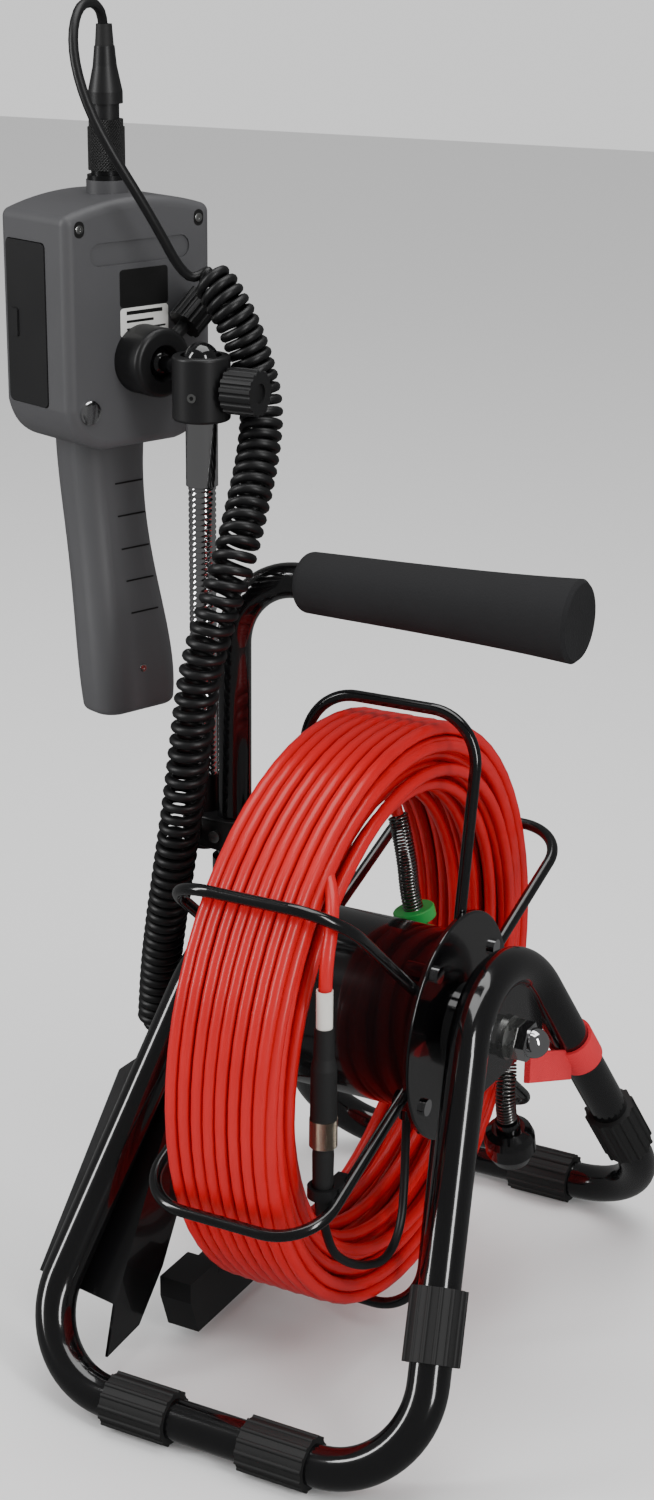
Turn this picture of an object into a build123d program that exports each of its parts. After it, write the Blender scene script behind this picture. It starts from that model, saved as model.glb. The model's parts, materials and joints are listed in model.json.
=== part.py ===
"""Drain inspection camera on a reel stand.

A bent-tube stand carries a free-turning reel with the push cable. A post with a foam
grip rises from the left side of the stand. Next to it a flexible arm holds the
monitor handset, which a curly lead joins to the rotary coupling on the reel's axle.
X runs along the axle from the handset side to the cap-nut side, Y points to the
rear of the stand and Z up. Millimetres.
"""
from build123d import *
from math import atan2, cos, degrees, pi, radians, sin, tan
import os

# ---------------------------------------------------------------- driving dimensions
TUBE_R = 11.0            # stand tube, 22 mm outside
TUBE_WALL = 1.5
BASE_HALF_X = 117.5      # sharp corners of the stand at floor level
BASE_HALF_Y = 170.0
TUBE_Z = 14.0            # tube axis above the floor, on rubber feet
APEX_HALF_X = 70.3       # sharp apex of each side of the stand
APEX_Z = 271.0
FLOOR_BEND_R = 48.0
APEX_BEND_R = 58.0
JOINT_X = 45.0           # where the two stand tubes meet, under the right feet

AXLE_Z = 188.0
AXLE_R = 6.0
GUSSET_X = 84.0
GUSSET_R = 48.5
GUSSET_ARC_Z = 166.0
PLATE_T = 3.0

DRUM_R = 50.0
DRUM_HALF = 54.0
FLANGE_R = 63.0
SCREW_CIRCLE_R = 51.5
WIRE_R = 3.2
WIRE_X = DRUM_HALF - WIRE_R
WIRE_RING_R = 168.0
WIRE_BEND_R = 28.0
WIRE_ANGLES = [20, 80, 140, 200, 260, 320]

CABLE_R = 3.5            # push cable, 7 mm
WIND_LEFT_X = -36.0
WIND_RIGHT_X = 33.5
WIND_IN_R = 116.0
WIND_OUT_R = 163.5
WIND_CORNER_R = 22.0

HANDLE_R = 9.45
HANDLE_X = -82.0
HANDLE_Z = 422.0
HANDLE_BEND_R = 40.0
HANDLE_END_X = 108.0
GRIP_LEFT_X = -40.0
GRIP_RIGHT_X = 116.0

ARM_X, ARM_Y = -102.0, 1.6   # flexible arm
ARM_R = 7.5
CLAMP_Z = 518.0
CLAMP_R = 15.4
CLAMP_H = 34.0

LEAD_R = 2.6             # straight lead, 5.2 mm
COIL_R = 12.0            # outside of the curly lead's turns

# Handset: a plane on its back, local x across, local y up, normal towards the clamp
BACK_DIR = Vector(0.9354, -0.3535, 0).normalized()
ACROSS_DIR = Vector(0.3535, 0.9354, 0).normalized()
BACK_POINT = Vector(-149.4, 19.5, 0)
BACK = Plane(origin=BACK_POINT, x_dir=ACROSS_DIR, z_dir=BACK_DIR)
HEAD_HALF_W = 48.5
HEAD_TOP_Z = 603.0
HEAD_CROWN = 8.0
HEAD_LOW_Z = 492.0
HEAD_DEPTH = 60.0
NECK_Z = 479.0
SHELL_WALL = 2.5
SPLIT_DEPTH = 31.0
GRIP_CAP_Z = 337.0
GRIP_BOTTOM_Z = 327.0
BALL_OUT = 13.0          # ball centre behind the handset's back
BALL_R = 8.0
BALL_Z = 526.0
PLUG_DEPTH = 28.0

PARTS = {}
CORD_NODES = ["lead_upper", "lead_coil", "lead_tail", "cable_winding", "cable_ends", "jumper_lead"]


def keep(part, name, *cutters):
    """Files a finished piece under the name of its node, cut back from its neighbours."""
    for cutter in cutters:
        solids = (part - cutter).solids()
        part = Part(max(solids, key=lambda solid: solid.volume).wrapped) if len(part.solids()) == 1 else part - cutter
    PARTS.setdefault(name, []).extend(part.solids())


def on_back(across, out, z):
    """A point given across the handset, out of its back and by height."""
    point = BACK_POINT + ACROSS_DIR * across + BACK_DIR * out
    return Vector(point.X, point.Y, z)


def along_x(x):
    """A sketch plane square to the axle, its local x along +Y and local y along +Z."""
    return Plane(origin=(x, 0, AXLE_Z), x_dir=(0, 1, 0), z_dir=(1, 0, 0))


def round_path(points, share=0.45, least=0.0, name=""):
    """Straight runs joined by tangent arcs, each as large as its two runs allow."""
    points = [Vector(*p) for p in points]
    radii = []
    for before, here, after in zip(points, points[1:], points[2:]):
        run_in, run_out = here - before, after - here
        turn = radians(run_in.get_angle(run_out))
        radii.append(max(least, share * min(run_in.length, run_out.length) / tan(turn / 2)))
    if name:
        print(name, "bend radii", [round(r) for r in radii])
    with BuildLine() as line:
        FilletPolyline(*points, radius=radii)
    return line.line


def round_bar(path, outer, inner=0.0):
    """A round bar or tube along a path."""
    with BuildPart() as bar:
        with BuildSketch(Plane(origin=path @ 0, z_dir=path % 0)):
            Circle(outer)
            if inner:
                Circle(inner, mode=Mode.SUBTRACT)
        sweep(path=path)
    return bar.part


# ---------------------------------------------------------------- stand
def stand_path(side):
    """One side of the stand: a floor stub, a leg up to the apex and down, and a stub."""
    points = [(JOINT_X, -BASE_HALF_Y, TUBE_Z), (side * BASE_HALF_X, -BASE_HALF_Y, TUBE_Z),
              (side * APEX_HALF_X, 0, APEX_Z), (side * BASE_HALF_X, BASE_HALF_Y, TUBE_Z),
              (JOINT_X, BASE_HALF_Y, TUBE_Z)]
    with BuildLine() as line:
        FilletPolyline(*points, radius=[FLOOR_BEND_R, APEX_BEND_R, FLOOR_BEND_R])
    return line.line


def leg_point(side, rear, share):
    """A point on a leg's axis, share 0 at the floor corner and 1 at the sharp apex."""
    return Vector(side * (BASE_HALF_X + (APEX_HALF_X - BASE_HALF_X) * share),
                  rear * BASE_HALF_Y * (1 - share), TUBE_Z + (APEX_Z - TUBE_Z) * share)


STAND_BARS = {}
for side, name in ((1, "stand_tube_right"), (-1, "stand_tube_left")):
    keep(round_bar(stand_path(side), TUBE_R, TUBE_R - TUBE_WALL), name)
    STAND_BARS[side] = round_bar(stand_path(side), TUBE_R)

FOOT_LEN = 38.0
FOOT_OUTER = 14.4
FOOT_MIDDLE_X = 41.0
RIB_COUNT = 14


def rubber_sleeve(plane, length, flat):
    """A ribbed rubber sleeve round the tube, flattened where it meets the floor."""
    with BuildPart() as sleeve:
        with BuildSketch(plane):
            Circle(FOOT_OUTER - 0.5)
            with PolarLocations(FOOT_OUTER - 0.7, RIB_COUNT):
                Circle(1.3)
            Circle(TUBE_R, mode=Mode.SUBTRACT)
        extrude(amount=length / 2, both=True)
        if flat:
            split(bisect_by=Plane.XY, keep=Keep.TOP)
    return sleeve.part


for side in (-1, 1):
    for rear in (-1, 1):
        middle = Plane(origin=(side * FOOT_MIDDLE_X, rear * BASE_HALF_Y, TUBE_Z), z_dir=(1, 0, 0))
        keep(rubber_sleeve(middle, FOOT_LEN, True), "rubber_feet")
BUMPER_SHARE = 0.27
for rear in (-1, 1):
    low, high = leg_point(1, rear, 0), leg_point(1, rear, 1)
    bumper_plane = Plane(origin=leg_point(1, rear, BUMPER_SHARE), z_dir=high - low)
    keep(rubber_sleeve(bumper_plane, FOOT_LEN, False), "leg_bumpers")

for side in (-1, 1):
    with BuildPart() as gusset:
        with BuildSketch(along_x(side * GUSSET_X)):
            with Locations((0, GUSSET_ARC_Z - AXLE_Z)):
                Circle(GUSSET_R)
            with Locations((0, GUSSET_ARC_Z - AXLE_Z + 2)):
                Rectangle(2 * GUSSET_R, 2 * GUSSET_R, align=(Align.CENTER, Align.MAX), mode=Mode.SUBTRACT)
            Circle(AXLE_R + 0.1, mode=Mode.SUBTRACT)
        extrude(amount=PLATE_T / 2, both=True)
    keep(gusset.part, "axle_plates", STAND_BARS[side])

# ---------------------------------------------------------------- axle and its fasteners
AXLE_HALF = 99.0
with BuildPart() as axle:
    with BuildSketch(along_x(-AXLE_HALF)):
        Circle(AXLE_R)
    extrude(amount=2 * AXLE_HALF)
keep(axle.part, "axle")

NUT_FLATS = 19.0
PLATE_OUT = GUSSET_X + PLATE_T / 2
WASHER_T = 2.0
NUT_T = 6.5
NUT_START = PLATE_OUT + WASHER_T
CAP_START = NUT_START + NUT_T
CAP_HEX_T = 5.0
DOME_R = 8.4


for side in (-1, 1):
    outward = Plane(origin=(side * PLATE_OUT, 0, AXLE_Z), x_dir=(0, 1, 0), z_dir=(side, 0, 0))
    with BuildPart() as washer:
        with BuildSketch(outward):
            Circle(12.0)
            Circle(AXLE_R + 0.05, mode=Mode.SUBTRACT)
        extrude(amount=WASHER_T)
    keep(washer.part, "axle_fasteners")
    with BuildPart() as nut:
        with BuildSketch(outward.offset(WASHER_T)):
            RegularPolygon(NUT_FLATS / 2, 6, major_radius=False)
            Circle(AXLE_R, mode=Mode.SUBTRACT)
        extrude(amount=NUT_T)
        chamfer(nut.faces().sort_by(Axis.X)[-1 if side > 0 else 0].outer_wire().edges(), 0.7)
    keep(nut.part, "axle_fasteners")

with BuildPart() as cap_nut:
    with BuildSketch(along_x(CAP_START)):
        RegularPolygon(NUT_FLATS / 2, 6, major_radius=False)
    extrude(amount=CAP_HEX_T)
    with BuildSketch(Plane(origin=(CAP_START + CAP_HEX_T, 0, AXLE_Z), x_dir=(1, 0, 0), z_dir=(0, -1, 0))):
        with BuildLine():
            Line((0, 0), (0, DOME_R))
            Line((0, DOME_R), (1.5, DOME_R))
            RadiusArc((1.5, DOME_R), (1.5 + DOME_R, 0), DOME_R)
            Line((1.5 + DOME_R, 0), (0, 0))
        make_face()
    revolve(axis=Axis((0, 0, AXLE_Z), (1, 0, 0)))
    with BuildSketch(along_x(CAP_START)):
        Circle(AXLE_R + 0.02)
    extrude(amount=AXLE_HALF - CAP_START + 0.5, mode=Mode.SUBTRACT)
keep(cap_nut.part, "cap_nut")

COUPLING_START = NUT_START + NUT_T
COUPLING_LEN = 12.0
COUPLING_R = 15.0
with BuildPart() as coupling:
    with BuildSketch(Plane(origin=(-COUPLING_START, 0, AXLE_Z), x_dir=(0, 1, 0), z_dir=(-1, 0, 0))):
        Circle(COUPLING_R)
    extrude(amount=COUPLING_LEN)
    fillet(coupling.faces().sort_by(Axis.X)[0].edges(), 3)
    with BuildSketch(Plane(origin=(-COUPLING_START, 0, AXLE_Z), x_dir=(0, 1, 0), z_dir=(-1, 0, 0))):
        Circle(AXLE_R + 0.02)
    extrude(amount=AXLE_HALF - COUPLING_START + 1, mode=Mode.SUBTRACT)
GLAND_X = -(COUPLING_START + COUPLING_LEN / 2)
GLAND_TOP_Z = AXLE_Z - COUPLING_R + 1.5
GLAND_LEN = 22.0
with BuildPart() as gland:
    with BuildSketch(Plane.XY.offset(GLAND_TOP_Z - GLAND_LEN)):
        with Locations((GLAND_X, 0)):
            Circle(LEAD_R + 0.9)
    with BuildSketch(Plane.XY.offset(GLAND_TOP_Z + 2)):
        with Locations((GLAND_X, 0)):
            Circle(5.2)
    loft()
    add(coupling.part)
keep(gland.part, "rotary_coupling")

# ---------------------------------------------------------------- reel hub
SCREW_ANGLE = 36
LUG_R = 4.6
LUG_LEN = 14.0
with BuildPart() as drum:
    with BuildSketch(along_x(-DRUM_HALF)):
        Circle(DRUM_R)
        Circle(DRUM_R - 3, mode=Mode.SUBTRACT)
    extrude(amount=2 * DRUM_HALF)
    for side in (-1, 1):
        with BuildSketch(along_x(side * DRUM_HALF)):
            with PolarLocations(SCREW_CIRCLE_R, 4, start_angle=SCREW_ANGLE):
                Circle(LUG_R)
        extrude(amount=-side * LUG_LEN)
        with BuildSketch(along_x(side * DRUM_HALF)):
            with PolarLocations(SCREW_CIRCLE_R, 4, start_angle=SCREW_ANGLE):
                Circle(2)
        extrude(amount=-side * (LUG_LEN - 4), mode=Mode.SUBTRACT)
    with BuildSketch(Plane(origin=(35, -17, 143), z_dir=(0, 0, -1))):
        Circle(4.4)
    extrude(amount=8)
keep(drum.part, "hub_drum")

BUSH_R = 9.0
BOSS_R = 24.0
BOSS_LEN = 11.0
NECK_LEN = 5.0
FLANGE_T = 3.0
FLANGE_OUT = DRUM_HALF + FLANGE_T
BOSS_END = FLANGE_OUT + BOSS_LEN + NECK_LEN
RUNNING_GAP = 0.05
for side in (-1, 1):
    inner = Plane(origin=(side * DRUM_HALF, 0, AXLE_Z), x_dir=(0, 1, 0), z_dir=(side, 0, 0))
    with BuildPart() as flange:
        with BuildSketch(inner):
            Circle(FLANGE_R)
            Circle(BUSH_R, mode=Mode.SUBTRACT)
            with PolarLocations(SCREW_CIRCLE_R, 4, start_angle=side * SCREW_ANGLE):
                Circle(2.1, mode=Mode.SUBTRACT)
        extrude(amount=FLANGE_T)
        fillet(flange.faces().sort_by(Axis.X)[-1 if side > 0 else 0].outer_wire().edges(), 1.2)
        with BuildSketch(Plane(origin=(0, 0, AXLE_Z), x_dir=(side, 0, 0), z_dir=(0, -side, 0))):
            with BuildLine():
                Polyline((FLANGE_OUT, BUSH_R), (FLANGE_OUT, BOSS_R), (FLANGE_OUT + BOSS_LEN - 3, BOSS_R - 1),
                         (FLANGE_OUT + BOSS_LEN, BOSS_R - 5), (FLANGE_OUT + BOSS_LEN, 12.5),
                         (BOSS_END, 12.0), (BOSS_END, BUSH_R), (FLANGE_OUT, BUSH_R))
            make_face()
        revolve(axis=Axis((0, 0, AXLE_Z), (1, 0, 0)))
    keep(flange.part, "reel_flanges")
    with BuildPart() as screws:
        with BuildSketch(inner.offset(FLANGE_T)):
            with PolarLocations(SCREW_CIRCLE_R, 4, start_angle=side * SCREW_ANGLE):
                Circle(4.6)
        extrude(amount=2.2)
        with BuildSketch(inner.offset(FLANGE_T)):
            with PolarLocations(SCREW_CIRCLE_R, 4, start_angle=side * SCREW_ANGLE):
                Circle(2.0)
        extrude(amount=-(FLANGE_T + LUG_LEN - 5))
    keep(screws.part, "flange_screws")
    with BuildPart() as bush:
        with BuildSketch(inner):
            Circle(BUSH_R)
            Circle(AXLE_R + RUNNING_GAP, mode=Mode.SUBTRACT)
        extrude(amount=BOSS_END - DRUM_HALF)
    keep(bush.part, "axle_bushes")
    with BuildPart() as spacer:
        with BuildSketch(Plane(origin=(side * (BOSS_END + 0.4), 0, AXLE_Z), x_dir=(0, 1, 0), z_dir=(side, 0, 0))):
            Circle(9.5)
            Circle(AXLE_R + 0.02, mode=Mode.SUBTRACT)
        extrude(amount=GUSSET_X - PLATE_T / 2 - BOSS_END - 0.4)
    keep(spacer.part, "axle_spacers")

wire_bars = {}
for angle in WIRE_ANGLES:
    out_y, out_z = cos(radians(angle)), sin(radians(angle))
    foot, top = DRUM_R + 0.2, WIRE_RING_R
    corners = [(x, r * out_y, AXLE_Z + r * out_z)
               for x, r in ((WIRE_X, foot), (WIRE_X, top), (-WIRE_X, top), (-WIRE_X, foot))]
    with BuildLine() as wire_path:
        FilletPolyline(*corners, radius=WIRE_BEND_R)
    wire_bars[angle] = round_bar(wire_path.line, WIRE_R)
    keep(wire_bars[angle], "wire_arms")

# ---------------------------------------------------------------- push cable and its end
with BuildPart() as winding:
    with BuildSketch(Plane(origin=(0, 0, AXLE_Z), x_dir=(1, 0, 0), z_dir=(0, -1, 0))):
        middle_x, middle_r = (WIND_LEFT_X + WIND_RIGHT_X) / 2, (WIND_IN_R + WIND_OUT_R) / 2
        with Locations((middle_x, middle_r)):
            RectangleRounded(WIND_RIGHT_X - WIND_LEFT_X, WIND_OUT_R - WIND_IN_R, WIND_CORNER_R)
    revolve(axis=Axis((0, 0, AXLE_Z), (1, 0, 0)))
keep(winding.part, "cable_winding")

END_X, END_Y = 41.6, -127.0
TAIL_POINTS = [(20, -88, 306), (33, -103, 298), (40, -117, 284), (END_X, END_Y, 266), (END_X, END_Y, 232)]
keep(round_bar(round_path(TAIL_POINTS, name="cable_tail"), CABLE_R), "cable_ends", winding.part)


def turned(levels, hole=0.0):
    """A turned piece on the cable end's upright line: (height, radius) from top to bottom."""
    with BuildPart() as piece:
        with BuildSketch(Plane(origin=(END_X, END_Y, 0), x_dir=(1, 0, 0), z_dir=(0, -1, 0))):
            with BuildLine():
                top, bottom = levels[0][0], levels[-1][0]
                Polyline((hole, top), *[(r, z) for z, r in levels], (hole, bottom), (hole, top))
            make_face()
        revolve(axis=Axis((END_X, END_Y, 0), (0, 0, 1)))
    return piece.part


keep(turned([(256, 4.3), (236, 4.3)], CABLE_R), "label_sleeve")
keep(turned([(236, 4.9), (220, 5.4), (214, 6.6), (186, 6.9)], CABLE_R), "cable_boot")
keep(turned([(186, 7.2), (171, 7.2)]), "knurled_ring")
lead_plug = turned([(171, 5.2), (166, 5.6), (150, 5.4), (131, 3.4)])
keep(lead_plug, "lead_plug")

JUMPER_POINTS = [(35, -17, 135), (35, -17.5, 118), (37, -22, 98), (40, -31, 76), (41.6, -50, 66),
                 (41.6, -75, 74), (41.6, -101, 90), (41.6, -120, 108), (END_X, END_Y, 131)]
keep(round_bar(round_path(JUMPER_POINTS, name="jumper_lead"), 2.4), "jumper_lead", drum.part, lead_plug)
with BuildPart() as connector_clip:
    with BuildSketch(Plane.XY.offset(142)):
        with Locations((END_X, END_Y)):
            Circle(8.0)
        with Locations((END_X + 4.5, END_Y + 9)):
            Rectangle(9, 16)
        with Locations((END_X, END_Y)):
            Circle(5.7, mode=Mode.SUBTRACT)
    extrude(amount=6)
keep(connector_clip.part, "cable_clips", wire_bars[200])

# Camera probe: spring neck stowed behind the hub, head beside the right flange
PROBE_POINTS = [(-14, 65, 275), (-8, 65, 253), (-5.5, 66, 225), (2, 69, 198), (20, 72, 176),
                (42, 69, 161), (58.5, 62, 149), (63.2, 53, 133), (63.6, 51, 120), (63.6, 55, 108)]
probe_path = round_path(PROBE_POINTS, name="probe_spring")
probe_spring = round_bar(probe_path, 6.2)
keep(probe_spring, "probe_spring")
PROBE_TAIL = [(-14, 65, 275), (-17.5, 64, 290), (-19, 60, 306)]
keep(round_bar(round_path(PROBE_TAIL), CABLE_R), "cable_ends", probe_spring, winding.part)
HEAD_DIR = (probe_path % 1).normalized()
HEAD_START = probe_path @ 1


def on_probe(profile):
    """A turned piece on the probe's own axis: (distance past the spring, radius)."""
    plane = Plane(origin=HEAD_START, x_dir=HEAD_DIR, z_dir=HEAD_DIR.cross(Vector(0, 1, 0)))
    with BuildPart() as piece:
        with BuildSketch(plane):
            with BuildLine():
                Polyline((profile[0][0], 0), *profile, (profile[-1][0], 0), (profile[0][0], 0))
            make_face()
        revolve(axis=Axis(HEAD_START, HEAD_DIR))
    return piece.part


keep(on_probe([(0, 7.0), (4, 7.0), (4, 6.2), (6, 6.2), (6, 9.5), (8.5, 13.2), (13, 14.6),
               (22, 14.4), (29, 11.0), (32, 6.5)]), "camera_head")
keep(on_probe([(32, 5.2), (33.2, 5.0)]), "lens_window")
with BuildPart() as neck_clip:
    with BuildSketch(Plane.XY.offset(194)):
        with Locations((1, 64.5)):
            RectangleRounded(20, 30, 4)
    extrude(amount=8)
keep(neck_clip.part, "cable_clips", probe_spring, drum.part)

# ---------------------------------------------------------------- post and grip
POST_LOW_Z = 240.0
handle_points = [(HANDLE_X, 0, POST_LOW_Z), (HANDLE_X, 0, HANDLE_Z), (HANDLE_END_X, 0, HANDLE_Z)]
with BuildLine() as handle_line:
    FilletPolyline(*handle_points, radius=HANDLE_BEND_R)

with BuildPart() as grip:
    with BuildSketch(Plane(origin=(0, 0, HANDLE_Z), x_dir=(1, 0, 0), z_dir=(0, -1, 0))):
        with BuildLine():
            Line((GRIP_LEFT_X, HANDLE_R), (GRIP_LEFT_X, 12.0))
            RadiusArc((GRIP_LEFT_X, 12.0), (GRIP_LEFT_X + 6, 16.2), 6)
            Spline((GRIP_LEFT_X + 6, 16.2), (30, 17.6), (85, 19.6), (GRIP_RIGHT_X - 2, 21.4))
            Line((GRIP_RIGHT_X - 2, 21.4), (GRIP_RIGHT_X, 19.6))
            Line((GRIP_RIGHT_X, 19.6), (GRIP_RIGHT_X, 0))
            Line((GRIP_RIGHT_X, 0), (HANDLE_END_X, 0))
            Line((HANDLE_END_X, 0), (HANDLE_END_X, HANDLE_R))
            Line((HANDLE_END_X, HANDLE_R), (GRIP_LEFT_X, HANDLE_R))
        make_face()
    revolve(axis=Axis((0, 0, HANDLE_Z), (1, 0, 0)))
keep(grip.part, "foam_grip")
with BuildPart() as post_socket:
    with BuildSketch(Plane.XY.offset(231)):
        with Locations((HANDLE_X, 0)):
            Circle(12.4)
    extrude(amount=29)
    with BuildSketch(Plane.XY.offset(POST_LOW_Z)):
        with Locations((HANDLE_X, 0)):
            Circle(HANDLE_R)
    extrude(amount=30, mode=Mode.SUBTRACT)
with BuildPart() as post_bolt:
    with BuildSketch(Plane(origin=(HANDLE_X, -12.4, 251), z_dir=(0, -1, 0))):
        RegularPolygon(4.6, 6)
    extrude(amount=3.4)
    with BuildSketch(Plane(origin=(HANDLE_X, 12.4, 251), z_dir=(0, 1, 0))):
        RegularPolygon(4.6, 6)
    extrude(amount=4)
    with BuildSketch(Plane(origin=(HANDLE_X, -12.4, 251), z_dir=(0, 1, 0))):
        Circle(2.5)
    extrude(amount=26)
keep(round_bar(handle_line.line, HANDLE_R, HANDLE_R - 1.5), "handle_tube", post_bolt.part)
keep(post_socket.part, "post_socket", post_bolt.part, STAND_BARS[-1])
keep(post_bolt.part, "small_fasteners")

# ---------------------------------------------------------------- flexible arm and clamp
with BuildPart() as arm_bracket:
    with BuildSketch(Plane.XY.offset(266)):
        with Locations((HANDLE_X, 0)):
            Circle(13.6)
        with Locations((ARM_X, ARM_Y)):
            Circle(12.2)
        make_hull()
        with Locations((HANDLE_X, 0)):
            Circle(HANDLE_R, mode=Mode.SUBTRACT)
        with Locations((ARM_X, ARM_Y)):
            Circle(8.0, mode=Mode.SUBTRACT)
    extrude(amount=18)
    fillet(arm_bracket.faces().filter_by(Axis.Z).edges().filter_by(GeomType.LINE), 1)
keep(arm_bracket.part, "arm_bracket")
with BuildPart() as bracket_screws:
    for x in (HANDLE_X - 4, ARM_X + 3):
        with BuildSketch(Plane(origin=(x, -12.2, 275), z_dir=(0, -1, 0))):
            Circle(3.4)
        extrude(amount=4)
keep(bracket_screws.part, "small_fasteners", arm_bracket.part)


def arm_piece(low, high, low_r, high_r=None, hole=0.0):
    """A round piece on the flexible arm's upright axis."""
    with BuildPart() as piece:
        with BuildSketch(Plane.XY.offset(low)):
            with Locations((ARM_X, ARM_Y)):
                Circle(low_r)
        if high_r and high_r != low_r:
            with BuildSketch(Plane.XY.offset(high)):
                with Locations((ARM_X, ARM_Y)):
                    Circle(high_r)
            loft()
        else:
            extrude(amount=high - low)
        if hole:
            with BuildSketch(Plane.XY.offset(low)):
                with Locations((ARM_X, ARM_Y)):
                    Circle(hole)
            extrude(amount=high - low, mode=Mode.SUBTRACT)
    return piece.part


ARM_LOW_Z, SLEEVE_Z = 304.0, 466.0
CLAMP_LOW = CLAMP_Z - CLAMP_H / 2
CLAMP_TOP = CLAMP_Z + CLAMP_H / 2
STEM_R = 6.0
keep(arm_piece(262, ARM_LOW_Z, 8.0), "arm_bracket")
keep(arm_piece(ARM_LOW_Z, SLEEVE_Z, ARM_R), "flexible_arm")
keep(arm_piece(SLEEVE_Z, CLAMP_LOW, 8.6), "arm_sleeve")
with BuildPart() as clamp_block:
    with BuildSketch(Plane.XY.offset(CLAMP_LOW)):
        with Locations((ARM_X, ARM_Y)):
            Circle(CLAMP_R)
    extrude(amount=CLAMP_H)
    fillet(clamp_block.edges().filter_by(GeomType.CIRCLE), 1.6)
    with BuildSketch(Plane.XY.offset(CLAMP_LOW)):
        with Locations((ARM_X, ARM_Y)):
            Circle(STEM_R)
    extrude(amount=CLAMP_H, mode=Mode.SUBTRACT)
    with BuildSketch(Plane.XY.offset(CLAMP_TOP - 3)):
        with Locations((ARM_X, ARM_Y)):
            Circle(11)
    extrude(amount=4, mode=Mode.SUBTRACT)
keep(clamp_block.part, "clamp_block")
with BuildPart() as arm_dome:
    with Locations((ARM_X, ARM_Y, CLAMP_TOP - 3)):
        Sphere(9.6)
    split(bisect_by=Plane.XY.offset(CLAMP_TOP - 3), keep=Keep.TOP)
    add(arm_piece(CLAMP_LOW, CLAMP_TOP - 3, STEM_R))
keep(arm_dome.part, "arm_stem")
with BuildPart() as set_screw:
    with BuildSketch(Plane(origin=(ARM_X + CLAMP_R * 0.2, ARM_Y - CLAMP_R * 0.98, CLAMP_Z - 3),
                           z_dir=(0.2, -0.98, 0))):
        Circle(2.4)
        RegularPolygon(1.2, 6, mode=Mode.SUBTRACT)
    extrude(amount=0.8)
keep(set_screw.part, "small_fasteners")


def fluted_knob(plane, radius, length, flutes, neck_r, neck_len):
    """A grip knob with lengthwise flutes on a short screw neck; the plane is the neck's start."""
    with BuildPart() as knob:
        with BuildSketch(plane.offset(neck_len)):
            Circle(radius)
            with PolarLocations(radius + 0.4, flutes):
                Circle(1.5, mode=Mode.SUBTRACT)
        extrude(amount=length)
        with BuildSketch(plane):
            Circle(neck_r)
        extrude(amount=neck_len)
        with BuildSketch(plane.offset(neck_len + length)):
            Circle(radius * 0.42)
        extrude(amount=-1.2, mode=Mode.SUBTRACT)
    return knob.part


clamp_knob_plane = Plane(origin=(ARM_X + CLAMP_R + 0.3, ARM_Y, CLAMP_Z), z_dir=(1, 0, 0))
keep(fluted_knob(clamp_knob_plane, 12.2, 18, 16, 5.0, 1.6), "clamp_knob")

ball_centre = on_back(0, BALL_OUT, BALL_Z)
with BuildPart() as ball_stud:
    with Locations(ball_centre):
        Sphere(BALL_R)
    with BuildSketch(Plane(origin=ball_centre, z_dir=BACK_DIR)):
        Circle(4.4)
    extrude(amount=50.5 - BALL_OUT - CLAMP_R + 0.6)
keep(ball_stud.part, "ball_stud", clamp_block.part)

# ---------------------------------------------------------------- handset
DISC_R, DISC_T = 18.5, 20.0
with BuildPart() as disc_mount:
    with BuildSketch(Plane(origin=on_back(0, 0, BALL_Z), z_dir=BACK_DIR)):
        Circle(DISC_R)
    extrude(amount=DISC_T)
    fillet(disc_mount.faces().sort_by(Axis(on_back(0, 0, BALL_Z), BACK_DIR))[-1].edges(), 3)
    with Locations(ball_centre):
        Sphere(BALL_R + 0.25, mode=Mode.SUBTRACT)
    with BuildSketch(Plane(origin=ball_centre, z_dir=BACK_DIR)):
        Circle(6.6)
    with BuildSketch(Plane(origin=on_back(0, DISC_T + 0.5, BALL_Z), z_dir=BACK_DIR)):
        Circle(10.0)
    loft(mode=Mode.SUBTRACT)
keep(disc_mount.part, "disc_mount")
KNOB_LEAN = radians(40)
knob_dir = ACROSS_DIR * cos(KNOB_LEAN) + Vector(0, 0, 1) * sin(KNOB_LEAN)
disc_knob_plane = Plane(origin=on_back(0, 11, BALL_Z) + knob_dir * (DISC_R + 0.2), x_dir=BACK_DIR, z_dir=knob_dir)
keep(fluted_knob(disc_knob_plane, 9.8, 19, 12, 3.6, 8), "disc_knob")


def head_outline(grow):
    """The monitor head seen on its back, offset outwards by grow."""
    half, low, top = HEAD_HALF_W + grow, HEAD_LOW_Z, HEAD_TOP_Z + grow
    with BuildLine() as outline:
        ThreePointArc((-half, top), (0, top + HEAD_CROWN), (half, top))
        Line((half, top), (half, low + 10))
        Spline((half, low + 10), (41 + grow, low - 5 - grow), (24 + grow, NECK_Z - grow))
        Line((24 + grow, NECK_Z - grow), (-24 - grow, NECK_Z - grow))
        Spline((-24 - grow, NECK_Z - grow), (-41 - grow, low - 5 - grow), (-half, low + 10))
        Line((-half, low + 10), (-half, top))
    make_face(outline.edges())


# height, half width, depth of the handle's back, thickness
HANDLE_SECTIONS = [(490, 24.5, 21.5, 34), (450, 22.5, 21.5, 34), (405, 23.5, 14.0, 33),
                   (366, 26.5, 5.5, 33), (GRIP_BOTTOM_Z, 26.0, 2.0, 31)]


def handle_loft(grow, lowest):
    """The handle's body through its sections, offset outwards by grow."""
    sections = []
    for z, half, back, thick in HANDLE_SECTIONS:
        middle = on_back(0, -back - thick / 2, max(z, lowest))
        with BuildSketch(Plane(origin=middle, x_dir=ACROSS_DIR, z_dir=(0, 0, 1))) as section:
            RectangleRounded(2 * (half + grow), thick + 2 * grow, 12.5 + grow)
        sections.append(section.sketch)
    loft(sections)


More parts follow.
